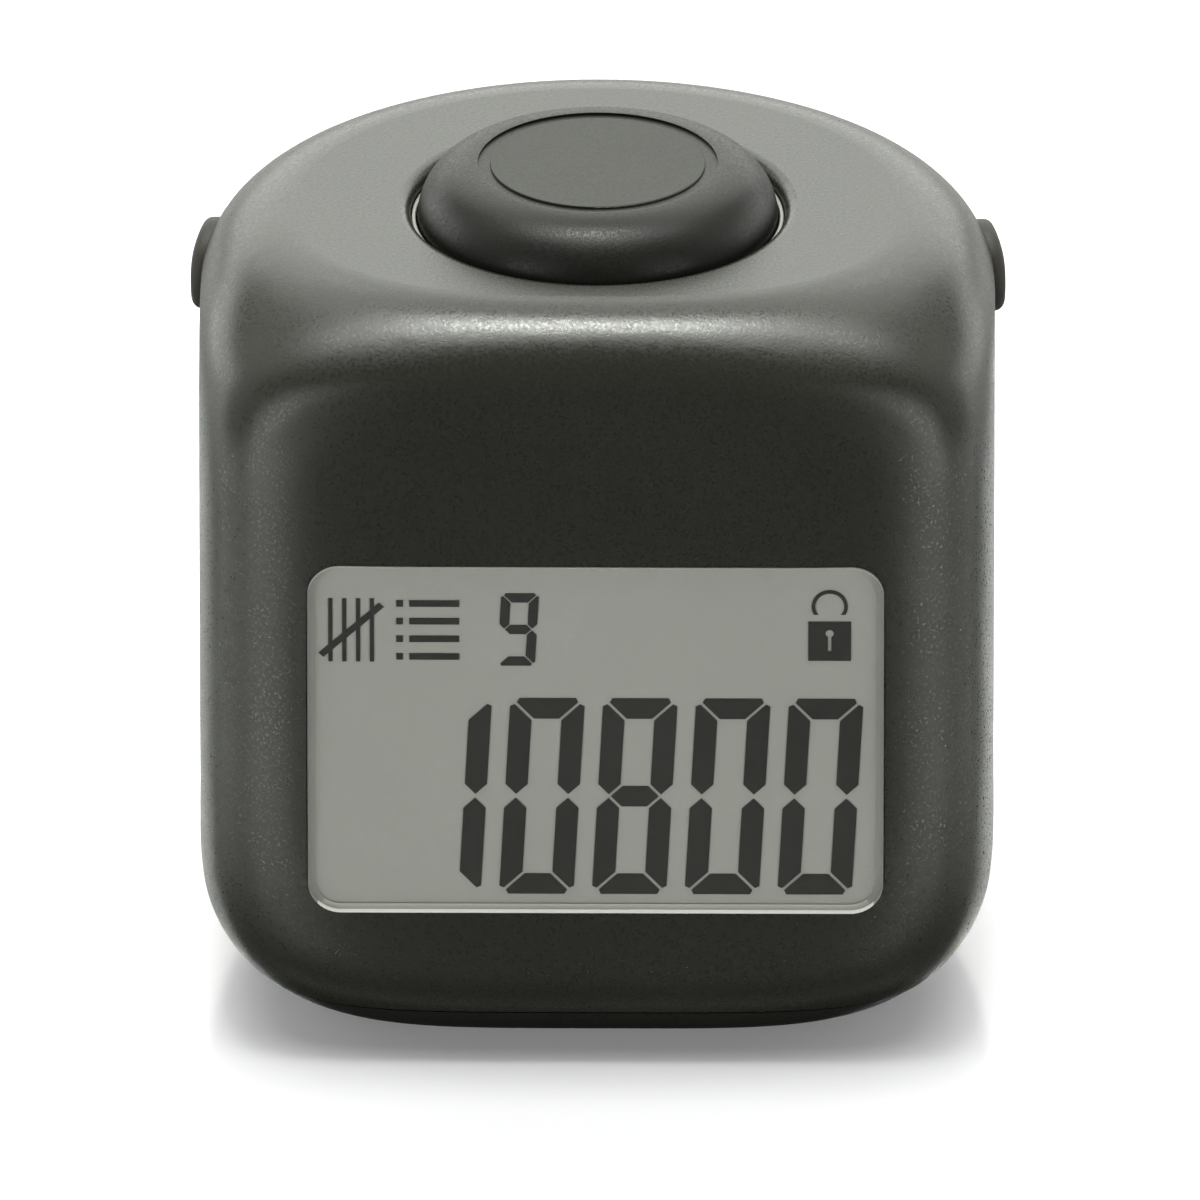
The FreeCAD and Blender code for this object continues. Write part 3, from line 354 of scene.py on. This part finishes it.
def display_window():
    """One clear slab from the window's face to the digits, with a softened front edge.

    Its border behind and its sides are opaque and look like the display's ground. Along the bottom they
    are painted lighter: painted light that stands for the light falling on them and offsets the shade
    there.
    """
    low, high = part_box("display_lens")
    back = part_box("lcd_digits")[0][1] - WINDOW_BACK_GAP
    soft = WINDOW_SOFT_EDGE
    rings = [(WINDOW_BORDER, back), (0.0, back)]
    for i in range(WINDOW_SOFT_STEPS):
        a = math.radians(90 * i / (WINDOW_SOFT_STEPS - 1))
        rings.append((soft * (1 - math.cos(a)), low[1] + soft * (1 - math.sin(a))))
    bm = bmesh.new()
    loops = []
    for inset, y in rings:
        outline = rounded_outline(
            low[0] + inset, high[0] - inset, low[2] + inset, high[2] - inset, WINDOW_RADIUS - inset
        )
        loops.append([bm.verts.new((x, y, z)) for x, z in outline])
    for lower, upper in zip(loops, loops[1:]):
        count = len(lower)
        for i in range(count):
            j = (i + 1) % count
            face = bm.faces.new((lower[i], lower[j], upper[j], upper[i]))
            if lower in loops[:2]:
                # Along the bottom the border and sides get the lighter painted-light materials, so painted
                # light stands where shade falls.
                at_bottom = max(v.co.z for v in face.verts) < low[2] + 2 * WINDOW_BORDER
                face.material_index = 2 + loops.index(lower) if at_bottom else 1
    bm.faces.new(loops[0][::-1])
    bm.faces.new(loops[-1])
    bmesh.ops.recalc_face_normals(bm, faces=bm.faces)
    mesh = bpy.data.meshes.new("window_slab")
    bm.to_mesh(mesh)
    bm.free()
    obj = bpy.data.objects.new("window_slab", mesh)
    bpy.context.collection.objects.link(obj)
    for mat in (lens, ground, edge, sill_painted_light):
        mesh.materials.append(mat)
    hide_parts("display_lens", "lcd_upper_glass")
    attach(obj, "case")


def floor():
    """Plain pale floor, darker where the gloss of the case reflects it."""
    mesh = bpy.data.meshes.new("floor")
    half = FLOOR_HALF
    corners = [(-half, -half, 0), (half, -half, 0), (half, half, 0), (-half, half, 0)]
    mesh.from_pydata(corners, [], [(0, 1, 2, 3)])
    obj = bpy.data.objects.new("floor", mesh)
    bpy.context.collection.objects.link(obj)
    m = Maker("floor_white")
    pale = m.mix(m.noise(FLOOR_MOTTLE, detail=3.0), FLOOR_DARK, FLOOR_PALE)
    path = m.add("ShaderNodeLightPath")
    tone = m.add("ShaderNodeMix", data_type="RGBA")
    m.link(path.outputs["Is Glossy Ray"], tone.inputs["Factor"])
    m.link(pale, tone.inputs["A"])
    tone.inputs["B"].default_value = FLOOR_GLOSS_TONE
    m.link(tone.outputs["Result"], m.bsdf.inputs["Base Color"])
    glow = m.ramp(path.outputs["Is Glossy Ray"], FLOOR_GLOW, 0.0, start=0.0, end=1.0)
    m.link(glow, m.bsdf.inputs["Emission Strength"])
    m.set(Roughness=0.14, IOR=1.45, Emission_Color=(1, 1, 1, 1))
    mesh.materials.append(m.mat)
    obj.visible_shadow = False


def area(name, azimuth, elevation, away, size_x, size_y, radiance):
    """Rectangular soft light of a given radiance. Azimuth 0 is in front of the display, 90 on its left."""
    a, e = math.radians(azimuth), math.radians(elevation)
    aim = Vector(LIGHT_AIM)
    place = aim + away * Vector((-math.sin(a) * math.cos(e), -math.cos(a) * math.cos(e), math.sin(e)))
    data = bpy.data.lights.new(name, "AREA")
    data.shape = "RECTANGLE"
    data.size = size_x
    data.size_y = size_y
    data.energy = radiance * math.pi * size_x * size_y
    data.color = LIGHT_TONE
    obj = bpy.data.objects.new(name, data)
    bpy.context.collection.objects.link(obj)
    obj.location = place
    obj.rotation_euler = (aim - place).to_track_quat("-Z", "Y").to_euler()
    obj.visible_camera = False
    data.cycles.use_multiple_importance_sampling = elevation > 0


def light():
    """All the lamps and the plain world."""
    for lamp in LAMPS:
        area(*lamp)
    world = bpy.data.worlds.new("studio")
    world.use_nodes = True
    background = world.node_tree.nodes["Background"]
    background.inputs["Color"].default_value = (1, 1, 1, 1)
    background.inputs["Strength"].default_value = WORLD_STRENGTH
    bpy.context.scene.world = world
    bpy.context.scene.view_settings.view_transform = "Standard"


def camera():
    """Long lens in front of the display and a little above it."""
    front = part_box("display_lens")[0][1]
    aim = Vector((VIEW_MIDDLE_X, front, VIEW_MIDDLE_Z))
    data = bpy.data.cameras.new("camera")
    data.sensor_width = SENSOR_WIDTH
    data.lens = SENSOR_WIDTH * CAMERA_AWAY / VIEW_WIDTH
    data.clip_end = CAMERA_CLIP
    obj = bpy.data.objects.new("camera", data)
    bpy.context.collection.objects.link(obj)
    level = math.cos(CAMERA_ELEVATION)
    ahead = level * math.cos(CAMERA_AZIMUTH)
    aside = level * math.sin(CAMERA_AZIMUTH)
    obj.location = aim + CAMERA_AWAY * Vector((aside, -ahead, math.sin(CAMERA_ELEVATION)))
    obj.rotation_euler = (math.pi / 2 - CAMERA_ELEVATION, 0, CAMERA_AZIMUTH)
    bpy.context.scene.camera = obj


display_window()
floor()
light()
camera()
